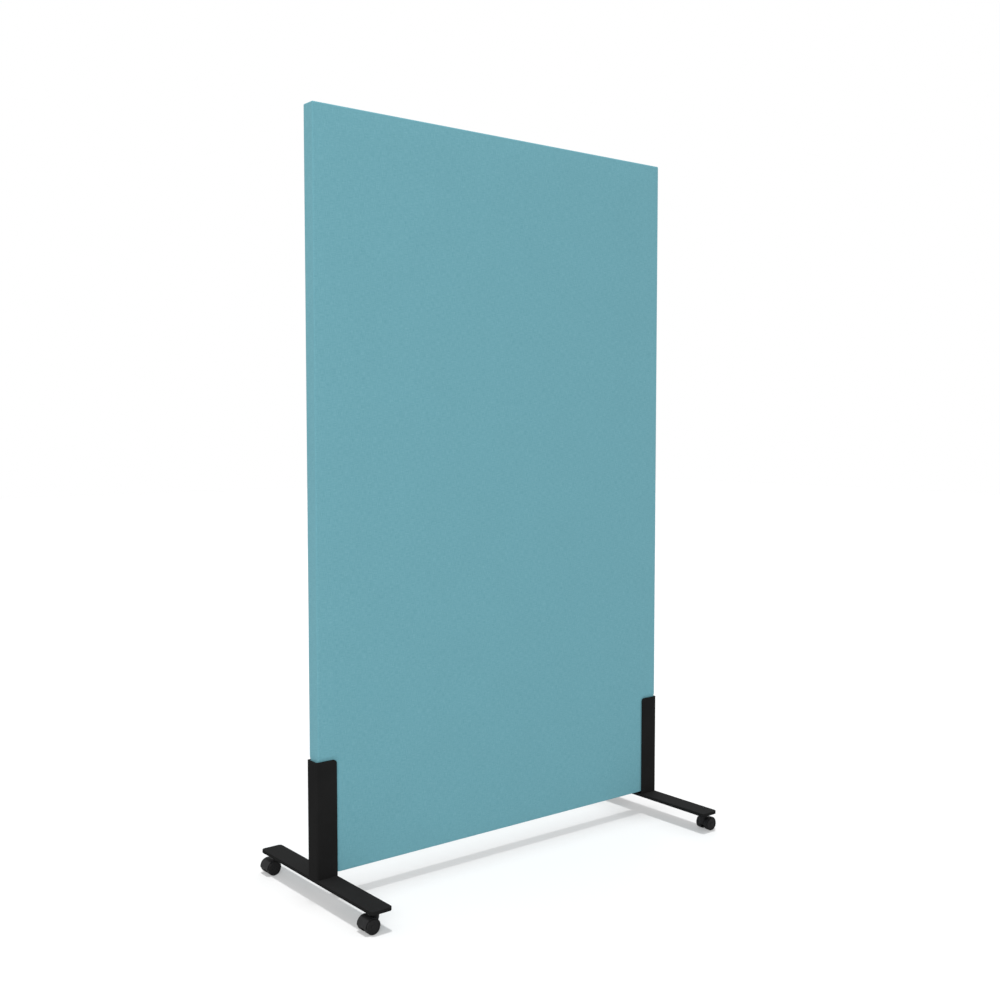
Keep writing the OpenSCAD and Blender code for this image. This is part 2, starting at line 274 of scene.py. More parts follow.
def settle(piece: Object, body: str, slot: str, *stands_for: str) -> Object:
    """Ties a new piece to its body, and hides the CAD nodes that it stands for.

    Args:
        piece: The finished piece.
        body: The CAD body that it moves with.
        slot: The record's material slot. Not used.
        stands_for: The CAD nodes that it replaces.

    Returns:
        The piece.
    """
    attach(piece, body)
    if stands_for:
        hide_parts(*stands_for)
    LOG.info("%s: %d faces, on %s", piece.name, len(piece.data.polygons), body)
    return piece


def dress(endings: str | tuple[str, ...], material: Material) -> None:
    """Gives CAD nodes a finish.

    Args:
        endings: How the nodes' names end.
        material: The finish.
    """
    for name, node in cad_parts.items():
        if name.endswith(endings):
            node.data.materials.clear()
            node.data.materials.append(material)
            LOG.info("%s: dressed in %s", name, material.name)


def node_group(
    name: str, sizes: Sequence[str], objects: Sequence[str] = ()
) -> tuple[NodeTree, Maker, dict[str, NodeSocket]]:
    """Starts a Geometry Nodes tree that takes a path, its sizes and a finish.

    Args:
        name: The tree's name.
        sizes: Names of the inputs that are numbers.
        objects: Names of the inputs that are objects.

    Returns:
        The tree, what adds a node to it, and the outputs that give its inputs, by name.
    """
    tree = bpy.data.node_groups.new(name, "GeometryNodeTree")
    kinds = {"Path": "Geometry", **dict.fromkeys(sizes, "Float"),
             **dict.fromkeys(objects, "Object"), "Finish": "Material"}
    for label, kind in kinds.items():
        tree.interface.new_socket(label, in_out="INPUT", socket_type=f"NodeSocket{kind}")
    tree.interface.new_socket("Geometry", in_out="OUTPUT", socket_type="NodeSocketGeometry")
    given = add_node(tree, "NodeGroupInput")
    return tree, partial(add_node, tree), {label: given.outputs[label] for label in kinds}


def end_group(node: Maker, geometry: Node, finish: NodeSocket) -> None:
    """Ends a Geometry Nodes tree with real, smooth and finished geometry.

    Args:
        node: Adds a node to the tree.
        geometry: The node that gives what it has made.
        finish: The output that gives the material.
    """
    real = node("GeometryNodeRealizeInstances", {0: geometry})
    smooth = node("GeometryNodeSetShadeSmooth", {0: real})
    coated = node("GeometryNodeSetMaterial", {"Geometry": smooth, "Material": finish})
    node("NodeGroupOutput", {0: coated})


def path_object(name: str, runs: Sequence[Sequence[Point]], closed: bool = False) -> Object:
    """Makes an object of lines for a tree to follow.

    Args:
        name: The object's name.
        runs: The lines, each a row of points.
        closed: Whether each line's end joins its start.

    Returns:
        The new object.
    """
    points: list[Point] = []
    edges: list[tuple[int, int]] = []
    for run in runs:
        first = len(points)
        points += run
        edges += [(i, i + 1) for i in range(first, len(points) - 1)]
        if closed:
            edges.append((len(points) - 1, first))
    mesh = bpy.data.meshes.new(name)
    mesh.from_pydata(points, edges, [])
    return add_object(name, mesh)


def grow(path: Object, tree: NodeTree, values: dict[str, object],
         name: str, material: Material) -> Object:
    """Runs a Geometry Nodes tree on a path and keeps the result as a plain mesh.

    Args:
        path: The object that carries the path. It is removed.
        tree: The geometry node group.
        values: The tree's inputs by name, apart from the finish.
        name: The new piece's name.
        material: The new piece's finish.

    Returns:
        The new piece.
    """
    modifier = path.modifiers.new(tree.name, "NODES")
    modifier.node_group = tree
    values = {**values, "Finish": material}
    for item in tree.interface.items_tree:
        if item.in_out == "INPUT" and item.name in values:
            modifier[item.identifier] = values[item.name]
    ready = path.evaluated_get(bpy.context.evaluated_depsgraph_get())
    mesh = bpy.data.meshes.new_from_object(ready)
    path.modifiers.remove(modifier)
    bpy.data.objects.remove(path)
    return smooth_piece(name, mesh, material)


# ---- Finishes ----


@dataclass(frozen=True)
class Finish:
    """A material with one surface shader."""

    name: str

    def surface(self, node: Maker) -> Inputs:
        """Builds the nodes that feed the shader, and gives the shader's inputs."""
        raise NotImplementedError

    def build(self) -> Material:
        """Makes the material.

        Returns:
            The material.
        """
        material = bpy.data.materials.new(self.name)
        material.use_nodes = True
        tree = material.node_tree
        tree.nodes.clear()
        shader = add_node(tree, "ShaderNodeBsdfPrincipled", self.surface(partial(add_node, tree)))
        add_node(tree, "ShaderNodeOutputMaterial", {"Surface": shader})
        return material


@dataclass(frozen=True)
class ScreenCloth(Finish):
    """Plain-woven polyester screen cloth: matt, with a dry hand and a faint mix of yarns.

    The yarns lie about 0.8 mm apart. Close shades of one dyed colour give it depth near by,
    and it reads as one even colour from across a room.
    """

    name: str = "woven_screen_cloth"
    colour: str = "#6DA5B1"
    dark: str = "#659DA9"
    light: str = "#76ADB8"
    yarn_pitch: float = 0.8 * MM
    slub_length: float = 14 * MM
    slub_width: float = 0.9 * MM
    shade_span: tuple[float, float] = (0.32, 0.68)
    cloud_scale: float = 9.0
    dye_span: tuple[float, float] = (0.985, 1.015)
    bump: float = 0.12 * MM

    def surface(self, node: Maker) -> Inputs:
        """Builds the nodes on the cloth's own UV map, which is in metres.

        Args:
            node: Adds a node to the material.

        Returns:
            The shader's inputs, as for feed.
        """
        place = node("ShaderNodeUVMap", uv_map="cloth")
        axes = node("ShaderNodeSeparateXYZ", {0: place})
        # Each yarn passes over one crossing yarn and under the next.
        turn = math.pi / self.yarn_pitch
        waves = []
        for axis in (0, 1):
            phase = node("ShaderNodeMath", {0: axes.outputs[axis], 1: turn}, operation="MULTIPLY")
            waves.append(node("ShaderNodeMath", {0: phase}, operation="SINE"))
        weave = node("ShaderNodeMath", {0: waves[0], 1: waves[1]}, operation="MULTIPLY")
        # Slubs: short lengths where a yarn is a shade lighter or darker.
        streaks = []
        for sizes in ((self.slub_length, self.slub_width), (self.slub_width, self.slub_length)):
            stretch = node(
                "ShaderNodeMapping", {"Vector": place, "Scale": (1 / sizes[0], 1 / sizes[1], 1)}
            )
            streaks.append(node(
                "ShaderNodeTexNoise", {"Vector": stretch, "Scale": 1, "Detail": 2},
                noise_dimensions="2D",
            ))
        # The lifted yarn shows: warp streaks on one set of crossings, weft on the other.
        lifted = node("ShaderNodeMapRange", {"Value": weave, "From Min": -0.5, "From Max": 0.5})
        streak = node("ShaderNodeMix", {0: lifted, 2: streaks[0], 3: streaks[1]})
        shade = node("ShaderNodeValToRGB", {"Fac": streak})
        ramp = shade.color_ramp.elements
        ramp[0].position, ramp[1].position = self.shade_span
        ramp[0].color, ramp[1].color = linear(self.dark), linear(self.light)
        ramp.new(0.5).color = linear(self.colour)
        # Faint clouds of an uneven dye, about 110 mm wide, take the flatness off a large face.
        cloud = node("ShaderNodeTexNoise", {
            "Vector": place, "Scale": self.cloud_scale, "Detail": 3,
        }, noise_dimensions="2D")
        dye = node("ShaderNodeMapRange", {
            "Value": cloud, "To Min": self.dye_span[0], "To Max": self.dye_span[1],
        })
        dyed = node("ShaderNodeVectorMath", {0: shade, "Scale": dye}, operation="SCALE")
        height = node("ShaderNodeMath", {0: weave, 1: streak}, operation="ADD")
        relief = node("ShaderNodeBump", {"Height": height, "Distance": self.bump, "Strength": 0.5})
        return {
            "Base Color": dyed, "Normal": relief, "Roughness": 0.92, "Specular IOR Level": 0.1,
            "Sheen Weight": 0.05, "Sheen Roughness": 0.6,
        }


@dataclass(frozen=True)
class SawnTimber(Finish):
    """Planed spruce: pale, with growth lines 2 to 3 mm apart along the piece."""

    grain: Grain
    pale: str = "#DCC094"
    late_wood: str = "#BF955C"
    ring_pitch: float = 2.6 * MM
    ring_stretch: float = 0.06
    fibre_width: float = 0.5 * MM
    fibre_stretch: float = 0.03
    early_wood: float = 0.35
    fleck_span: tuple[float, float] = (0.9, 1.06)
    bump: float = 0.05 * MM

    def surface(self, node: Maker) -> Inputs:
        """Builds the nodes on Object coordinates, with the fibres along the grain.

        Args:
            node: Adds a node to the material.

        Returns:
            The shader's inputs, as for feed.
        """
        place = node("ShaderNodeTexCoord").outputs["Object"]
        along = node("ShaderNodeMapping", {"Vector": place, "Rotation": self.grain.value})
        ring_place, fibre_place = (
            node("ShaderNodeMapping", {"Vector": along, "Scale": (stretch, 1, 1)})
            for stretch in (self.ring_stretch, self.fibre_stretch)
        )
        # A band texture repeats every pi / 10 of its scaled length.
        rings = node("ShaderNodeTexWave", {
            "Vector": ring_place, "Scale": math.pi / 10 / self.ring_pitch, "Distortion": 2.4,
            "Detail": 2, "Detail Scale": 0.05,
        }, bands_direction="Y", wave_profile="SAW")
        fibres = node(
            "ShaderNodeTexNoise", {"Vector": fibre_place, "Scale": 1 / self.fibre_width, "Detail": 3}
        )
        shade = node("ShaderNodeValToRGB", {"Fac": rings.outputs["Fac"]})
        ramp = shade.color_ramp.elements
        ramp[0].color, ramp[1].color = linear(self.pale), linear(self.late_wood)
        ramp[0].position = self.early_wood
        fleck = node("ShaderNodeMapRange", {
            "Value": fibres, "To Min": self.fleck_span[0], "To Max": self.fleck_span[1],
        })
        wood = node("ShaderNodeVectorMath", {0: shade, "Scale": fleck}, operation="SCALE")
        relief = node("ShaderNodeBump", {"Height": fibres, "Distance": self.bump, "Strength": 0.5})
        return {"Base Color": wood, "Normal": relief, "Roughness": 0.7}


@dataclass(frozen=True)
class MottledFinish(Finish):
    """A finish of one colour with a fine surface texture and a slight unevenness.

    Sizes are the real ones, in millimetres: grain is the spacing of the texture that gives
    the bump, and patch the size of the areas that differ a little in colour and gloss.
    """

    colour: str
    second: str
    roughness: float
    grain: float
    bump: float
    patch: float
    metallic: float = 0.0
    specular: float = 0.5
    gloss_spread: float = 0.06
    stretch: Point = (1.0, 1.0, 1.0)
    sheen: float = 0.0

    def surface(self, node: Maker) -> Inputs:
        """Builds the nodes on Object coordinates.

        Args:
            node: Adds a node to the material.

        Returns:
            The shader's inputs, as for feed.
        """
        place = node("ShaderNodeTexCoord").outputs["Object"]
        drawn = node("ShaderNodeMapping", {"Vector": place, "Scale": self.stretch})
        patches, texture = (
            node("ShaderNodeTexNoise", {"Vector": at, "Scale": 1 / (size * MM), "Detail": detail})
            for at, size, detail in ((place, self.patch, 4), (drawn, self.grain, 3))
        )
        mixed = node("ShaderNodeMapRange", {"Value": patches, "From Min": 0.35, "From Max": 0.65})
        shade = node("ShaderNodeMix", {
            0: mixed, 6: linear(self.colour), 7: linear(self.second),
        }, data_type="RGBA")
        gloss = node("ShaderNodeMapRange", {
            "Value": patches, "From Min": 0.3, "From Max": 0.7,
            "To Min": self.roughness - self.gloss_spread,
            "To Max": self.roughness + self.gloss_spread,
        })
        relief = node("ShaderNodeBump", {"Height": texture, "Distance": self.bump * MM, "Strength": 0.6})
        return {
            "Base Color": shade.outputs[2], "Roughness": gloss, "Normal": relief,
            "Metallic": self.metallic, "Specular IOR Level": self.specular,
            "Sheen Weight": self.sheen,
        }


# Polyester powder coat, baked on: matt black with an orange peel about 1.5 mm wide, so
# faint on black that it only breaks up the sheen.
POWDER_COAT = MottledFinish(
    "baked_powder_coat", "#1E1E1E", "#212121", roughness=0.82, grain=1.5, bump=0.06, patch=60,
    specular=0.015,
)
# Glass-filled nylon, injection moulded: matt black with a fine spark-eroded texture.
HOUSING_NYLON = MottledFinish(
    "moulded_nylon", "#1E1E1F", "#222223", roughness=0.5, grain=0.6, bump=0.05, patch=9, specular=0.1,
)
# The wheels are the same nylon, a little greyer and duller where they have rolled.
WHEEL_NYLON = MottledFinish(
    "rolled_nylon", "#1E1E1F", "#242424", roughness=0.6, grain=0.5, bump=0.05, patch=4, specular=0.08,
)
# Cellular rubber strip: dead matt, with an open skin.
PACKING_RUBBER = MottledFinish(
    "cellular_rubber", "#262626", "#303030", roughness=0.88, grain=0.7, bump=0.08, patch=5, specular=0.3,
)
# Black oxide on steel: deep grey-black, with the base metal's gloss under a film of oil.
BLACK_OXIDE = MottledFinish(
    "black_oxide_steel", "#3A3A3C", "#2E2E31", roughness=0.38, grain=0.3, bump=0.01, patch=2,
    metallic=1.0,
)
# Turned brass, as it comes from the lathe.
TURNED_BRASS = MottledFinish(
    "turned_brass", "#D8B765", "#C9A552", roughness=0.3, grain=0.3, bump=0.01, patch=3, metallic=1.0,
)
# Zinc plate with a clear passivation: pale, with cloudy blue-grey patches.
ZINC_PLATE = MottledFinish(
    "clear_zinc_plate", "#C6C9CC", "#B3B9C0", roughness=0.32, grain=0.4, bump=0.01, patch=3,
    metallic=1.0,
)
# Bonded polyester wadding: white fibres with soft hollows between them.
WADDING = MottledFinish(
    "polyester_wadding", "#EDEBE4", "#DEDBD2", roughness=0.95, grain=2.5, bump=0.6, patch=18,
    specular=0.1, sheen=0.3,
)
# Needled textile absorber: grey felt of mixed waste fibres.
ABSORBER_FELT = MottledFinish(
    "absorber_felt", "#8F9398", "#7C8187", roughness=0.95, grain=1.8, bump=0.5, patch=12, specular=0.1,
    sheen=0.2,
)
# Spun polyester thread, dyed a shade darker than the cloth.
THREAD = MottledFinish(
    "sewing_thread", "#4C7E8A", "#588C98", roughness=0.7, grain=0.15, bump=0.03, patch=3, specular=0.3,
    sheen=0.1,
)
# Beech dowels, pressed with a smooth skin.
DOWEL_BEECH = MottledFinish(
    "beech_dowel", "#CFA778", "#BE9263", roughness=0.6, grain=0.6, bump=0.03, patch=2,
    stretch=(0.05, 1.0, 1.0),
)


# ---- The padded panel ----


@dataclass
class PanelShape:
    """The outside of the padded board, and how the posts' flanges press it in.

    The seam's places are counted from the hem's inset inwards: a groove, and then the
    turned-in cloth, which stands proud and ends in a soft slope.
    """

    width: float = 1000 * MM
    height: float = 1600 * MM
    thickness: float = 36 * MM
    lower_edge: float = 57.5 * MM
    edge_radius: float = 2.4 * MM
    edge_parts: int = 3
    flange_free_edge: float = 455.5 * MM
    flange_top: float = 300.5 * MM
    flange_corner: float = 8 * MM
    flange_play: float = 0.5 * MM
    press_depth: float = 2.05 * MM
    press_slope: float = 8 * MM
    screw_x: float = 480.5 * MM
    screw_heights: tuple[float, ...] = (110.5 * MM, 185.5 * MM, 260.5 * MM)
    screw_clearance: float = 3.6 * MM
    hem_inset: float = 8 * MM
    hem_depth: float = 0.35 * MM
    hem_proud: float = 0.45 * MM
    seam_groove: tuple[float, ...] = (-1.0 * MM, -0.3 * MM, 0.2 * MM, 0.9 * MM)
    seam_slope: tuple[float, ...] = (7.9 * MM, 15.1 * MM)
    face_step: float = 14 * MM
    hole_step: float = 8 * MM
    edge_step: float = 4 * MM
    slope_step: float = 1.25 * MM
    slope_margin: float = 1.5 * MM
    swell: "Swell | None" = None

    def __post_init__(self) -> None:
        """Lays out the grid lines that the cover and the wadding share."""
        self.top = self.lower_edge + self.height
        self.middle = self.lower_edge + self.height / 2
        low, high, half_x = self.lower_edge, self.top, self.width / 2
        margin, hole = self.slope_margin, self.screw_clearance
        seam = [self.hem_inset + d for d in reversed(self.seam_groove)]
        arc = bends(self.edge_radius, self.edge_parts)
        lines = grid_lines(
            (0.0, 0.0), (self.flange_free_edge - self.press_slope - margin, self.face_step),
            (self.flange_free_edge + margin, self.slope_step),
            (self.screw_x - hole, self.hole_step), (self.screw_x + hole, self.hole_step),
            *((half_x - d, self.edge_step) for d in (*seam, self.edge_radius)),
        )
        self.x_lines = both_ways(lines + [lines[-1] + b for b in arc])
        core_low, core_high = low + self.edge_radius, high - self.edge_radius
        stops = [(core_low, 0.0)] + [(low + d, self.edge_step) for d in reversed(seam)]
        for z in self.screw_heights:
            stops += [(z - hole, self.face_step), (z + hole, self.hole_step)]
        lines = grid_lines(
            *stops, (self.flange_top - margin, self.face_step),
            (self.flange_top + self.press_slope + margin, self.slope_step),
            (high - 2 * self.hole_step, self.face_step),
            *((high - d, self.hole_step) for d in seam), (core_high, self.edge_step),
        )
        self.z_lines = np.array([core_low - b for b in reversed(arc)] + lines
                                + [core_high + b for b in arc])
        core_y = self.thickness / 2 - self.edge_radius
        self.y_lines = both_ways(grid_lines((0.0, 0.0), (core_y, self.edge_step))
                                 + [core_y + b for b in arc])

    def pressed(self, x: Array, z: Array) -> Array:
        """How fully a flange presses at a point, from 0 to 1.

        Args:
            x: Places along the panel.
            z: Heights above the floor.

        Returns:
            1 under a flange, falling to 0 over the slope round it.
        """
        radius = self.flange_corner + self.flange_play
        a = self.flange_free_edge - self.flange_play - abs(x) + radius
        b = z - self.flange_top - self.flange_play + radius
        outside = np.hypot(np.maximum(a, 0), np.maximum(b, 0)) + np.minimum(np.maximum(a, b), 0)
        return 1 - smooth_step((outside - radius) / self.press_slope)

    def inset(self, x: Array, z: Array) -> Array:
        """How far points of a face lie inside the panel's edges."""
        return np.minimum(self.width / 2 - abs(x), self.height / 2 - abs(z - self.middle))

    def hem(self, x: Array, z: Array) -> Array:
        """Relief of the turned-in edge where the rear cloth is sewn to the front one.

        Args:
            x: Places along the panel.
            z: Heights above the floor.

        Returns:
            How far the rear face stands out, in metres.
        """
        places = [self.hem_inset + p for p in self.seam_groove + self.seam_slope]
        heights = [0, -self.hem_depth, -self.hem_depth, self.hem_proud, self.hem_proud, 0]
        return np.interp(self.inset(x, z), places, heights) * (1 - self.pressed(x, z))

    def skin(self, points: Array, inset: float, sewn: bool = False) -> Array:
        """Brings points of the plain box to the padded board's outside.

        Args:
            points: Points on the faces of the sharp-edged box.
            inset: How deep below the cloth's outside the result lies.
            sewn: Whether the rear face shows the hem.

        Returns:
            The points on the rounded, pressed and swollen surface.
        """
        middle = np.array([0, 0, self.middle])
        half = np.array([self.width, self.thickness, self.height]) / 2
        local = points - middle
        core = np.clip(local, self.edge_radius - half, half - self.edge_radius)
        out = local - core
        out *= (self.edge_radius - inset) / np.linalg.norm(out, axis=-1, keepdims=True)
        result = core + out + middle
        x, y, z = np.moveaxis(result, -1, 0)
        half_t = half[1] - self.press_depth * self.pressed(x, z)
        y *= (half_t - inset) / (half[1] - inset)
        facing = np.clip(y / (half_t - inset), -1, 1) ** 3
        if self.swell is not None:
            y += facing * self.swell.at(x, z, y)
        if sewn:
            y += np.maximum(facing, 0) * self.hem(x, z)
        return result

    def face_grid(self, face: Face) -> Array:
        """Points of the plain box's front or rear face."""
        x, z = np.meshgrid(self.x_lines, self.z_lines, indexing="ij")
        return np.stack([x, np.full_like(x, face.value * self.thickness / 2), z], axis=-1)

    def screw_cells(self) -> list[tuple[int, int]]:
        """Finds the cells of the rear face's grid that the post screws pass through.

        Returns:
            Each cell's row and column.
        """
        rows = np.searchsorted(self.x_lines, (-self.screw_x, self.screw_x)) - 1
        columns = np.searchsorted(self.z_lines, self.screw_heights) - 1
        return [(int(i), int(j)) for i in rows for j in columns]

    def cell_ring(self, points: Array, cell: tuple[int, int]) -> Array:
        """The four corners of a grid's cell, in order."""
        i, j = cell
        return points[[i, i + 1, i + 1, i], [j, j, j + 1, j + 1]]


@dataclass
class Swell:
    """How far the stretched cloth stands off the board: a short cloth simulation.

    The cloth is held along the panel's edges and round the flanges, and the wadding
    pushes it out a little between them. It doesn't rise where a flange presses it by
    held_press or more.
    """

    shape: PanelShape
    columns: int = 50
    rows: int = 80
    frames: int = 20
    push: float = 4.0
    stiffness: float = 40.0
    most: float = 1.1 * MM
    held_edge: float = 19 * MM
    held_press: float = 0.25
    evenings: int = 2

    def run(self) -> None:
        """Simulates the cloth on a coarse grid and keeps its rise on both faces."""
        shape = self.shape
        self.xs = xs = np.linspace(-shape.width / 2, shape.width / 2, self.columns + 1)
        self.zs = zs = np.linspace(0, shape.height, self.rows + 1) + shape.lower_edge
        x, z = np.meshgrid(xs, zs, indexing="ij")
        self.rise = np.zeros((2, *x.shape))
        piece = self.board(x, z)
        rest = np.array([v.co for v in piece.data.vertices])
        held = ((shape.inset(rest[:, 0], rest[:, 2]) < self.held_edge)
                | (shape.pressed(rest[:, 0], rest[:, 2]) > 0))
        group = piece.vertex_groups.new(name="held")
        group.add(np.flatnonzero(held).tolist(), 1.0, "REPLACE")
        settings = piece.modifiers.new("cloth", "CLOTH").settings
        set_all(settings, {
            "quality": 6, "mass": 0.3, "tension_stiffness": self.stiffness,
            "compression_stiffness": self.stiffness, "bending_stiffness": 5,
            "use_pressure": True, "uniform_pressure_force": self.push,
            "vertex_group_mass": "held",
        })
        settings.effector_weights.gravity = 0
        for step in range(1, self.frames + 1):
            bpy.context.scene.frame_set(step)
        ready = piece.evaluated_get(bpy.context.evaluated_depsgraph_get())
        moved = np.array([v.co for v in ready.data.vertices])
        for face, rise in zip(Face, self.rise):
            on_face = rest[:, 1] * face.value > 0
            i = np.rint((rest[on_face, 0] - xs[0]) / (xs[1] - xs[0])).astype(int)
            j = np.rint((rest[on_face, 2] - zs[0]) / (zs[1] - zs[0])).astype(int)
            out = (moved[on_face, 1] - rest[on_face, 1]) * face.value
            rise[i, j] = self.most * np.tanh(np.maximum(out, 0) / self.most)
            self.soften(rise)
        LOG.info("cloth rises by up to %.2f mm", self.rise.max() / MM)
        bpy.context.scene.frame_set(1)
        bpy.data.objects.remove(piece)

    def board(self, x: Array, z: Array) -> Object:
        """Makes the closed box of cloth that is simulated.

        Args:
            x: Places along the panel, on the coarse grid.
            z: Heights above the floor, on the same grid.

        Returns:
            The box.
        """
        cloth, half_t = Shell(), self.shape.thickness / 2
        faces = np.stack([np.stack([x, np.full_like(x, f.value * half_t), z], -1) for f in Face])
        for face, points in zip(Face, faces):
            cloth.grid(points, self.xs, self.zs, turned=face is Face.REAR)
        for strip, turned in ((faces[:, 0], True), (faces[:, -1], False),
                              (faces[:, :, 0], False), (faces[:, :, -1], True)):
            cloth.grid(strip, np.arange(2), np.arange(strip.shape[1]), turned)
        return cloth.finish("swell", bpy.data.materials.new("swell"))

    def soften(self, rise: Array) -> None:
        """Evens the rise out from cell to cell, and leaves the held edges at 0.

        Args:
            rise: The rise on one face, which is changed in place.
        """
        for _ in range(self.evenings):
            for axis in (0, 1):
                near = np.roll(rise, 1, axis) + np.roll(rise, -1, axis)
                rise[:] = 0.5 * rise + 0.25 * near
            rise[[0, -1]] = 0
            rise[:, [0, -1]] = 0

    def at(self, x: Array, z: Array, y: Array) -> Array:
        """The cloth's rise at points of the panel.

        Args:
            x: Places along the panel.
            z: Heights above the floor.
            y: Depths, whose sign tells the face.

        Returns:
            The rise, from a smooth surface through the grid.
        """
        u = np.clip((x - self.xs[0]) / (self.xs[1] - self.xs[0]), 0, self.columns - 1e-6)
        v = np.clip((z - self.zs[0]) / (self.zs[1] - self.zs[0]), 0, self.rows - 1e-6)
        i, j = u.astype(int), v.astype(int)
        weights_u, weights_v = spline_weights(u - i), spline_weights(v - j)
        face, total = (y > 0).astype(int), np.zeros_like(x)
        for a in range(4):
            for b in range(4):
                rows = np.clip(i + a - 1, 0, self.columns)
                columns = np.clip(j + b - 1, 0, self.rows)
                total += weights_u[a] * weights_v[b] * self.rise[face, rows, columns]
        loose = 1 - smooth_step(self.shape.pressed(x, z) / self.held_press)
        return np.maximum(total, 0) * loose


@dataclass
class Cover:
    """The cloth round the whole board, sewn shut along a hem near the rear face's edges."""

    shape: PanelShape
    cloth: float = 1 * MM
    turn_in: float = 12 * MM
    stitch_pitch: float = 5 * MM
    stitch_length: float = 3.2 * MM
    thread: float = 0.8 * MM
    lift: float = 0.35 * MM
    slant: float = 58.0
    seam_end_gap: float = 3 * MM

    def build(self, material: Material) -> Object:
        """Makes the cover as one closed shell, with holes for the post screws.

        Args:
            material: The cloth's finish.

        Returns:
            The finished piece.
        """
        shape, shell = self.shape, Shell()
        xs, ys, zs = shape.x_lines, shape.y_lines, shape.z_lines
        half_x, half_t = shape.width / 2, shape.thickness / 2
        holes = shape.screw_cells()
        layers = []
        for inset in (0.0, self.cloth):
            inner = inset > 0
            front, rear = (shape.skin(shape.face_grid(f), inset, sewn=not inner) for f in Face)
            layers.append(rear)
            shell.grid(front, xs, zs, turned=inner)
            shell.grid(rear, 2 * half_x + 2 * half_t - xs, zs, turned=not inner, open_cells=holes)
            y, z = np.meshgrid(ys, zs, indexing="ij")
            for side in Side:
                wall = np.stack([np.full_like(y, side.value * half_x), y, z], axis=-1)
                across = side.value * (half_x + half_t + ys)
                shell.grid(shape.skin(wall, inset), across, zs,
                           turned=(side is Side.LEFT) != inner)
            x, y = np.meshgrid(xs, ys, indexing="ij")
            for height, facing in ((shape.lower_edge, -1), (shape.top, 1)):
                lid = np.stack([x, y, np.full_like(x, height)], axis=-1)
                up = height + facing * (half_t + ys)
                shell.grid(shape.skin(lid, inset), xs, up, turned=(facing < 0) != inner)
        for cell in holes:
            shell.rim(*(shape.cell_ring(layer, cell) for layer in layers), turned=True)
        piece = shell.finish("panel_cover", material)
        return settle(piece, "partition", "cover_fabric", "fabric_cover")

    def stitch_tree(self) -> NodeTree:
        """Builds the Geometry Nodes tree that sets slanted stitches along a path.

        Returns:
            The tree.
        """
        tree, node, given = node_group("hem_stitches", ("Pitch", "Length", "Thickness", "Slant"))
        seam = node("GeometryNodeMeshToCurve", {0: given["Path"]})
        spots = node(
            "GeometryNodeCurveToPoints", {"Curve": seam, "Length": given["Pitch"]}, mode="LENGTH"
        )
        along = node(
            "FunctionNodeAlignRotationToVector", {"Vector": spots.outputs["Tangent"]},
            axis="X", pivot_axis="Y",
        )
        lean = node("ShaderNodeCombineXYZ", {"Y": given["Slant"]})
        turned = node("FunctionNodeRotateRotation", {0: along, 1: lean}, rotation_space="LOCAL")
        bead = node("GeometryNodeMeshUVSphere", {"Segments": 6, "Rings": 4, "Radius": 0.5})
        lying = node("GeometryNodeTransform", {"Geometry": bead, "Rotation": (0, math.pi / 2, 0)})
        size = node(
            "ShaderNodeCombineXYZ", {0: given["Length"], 1: given["Thickness"], 2: given["Thickness"]}
        )
        sewn = node("GeometryNodeInstanceOnPoints", {
            "Points": spots, "Instance": lying, "Rotation": turned, "Scale": size,
        })
        end_group(node, sewn, given["Finish"])
        return tree

    def stitches(self, material: Material) -> Object:
        """Sews the hem with slanted stitches over its edge, but not under the flanges.

        Args:
            material: The thread's finish.

        Returns:
            The thread, as one piece.
        """
        shape = self.shape
        x, y = shape.width / 2 - shape.hem_inset, shape.thickness / 2 + self.lift
        low, high = shape.lower_edge + shape.hem_inset, shape.top - shape.hem_inset
        free_z = shape.flange_top + shape.press_slope + self.seam_end_gap
        free_x = shape.flange_free_edge - shape.press_slope - self.seam_end_gap
        path = path_object("hem_path", [
            [(x, y, free_z), (x, y, high), (-x, y, high), (-x, y, free_z)],
            [(-free_x, y, low), (free_x, y, low)],
        ])
        piece = grow(path, self.stitch_tree(), {
            "Pitch": self.stitch_pitch, "Length": self.stitch_length,
            "Thickness": self.thread, "Slant": math.radians(self.slant),
        }, "cover_stitches", material)
        return settle(piece, "partition", "cover_fabric")


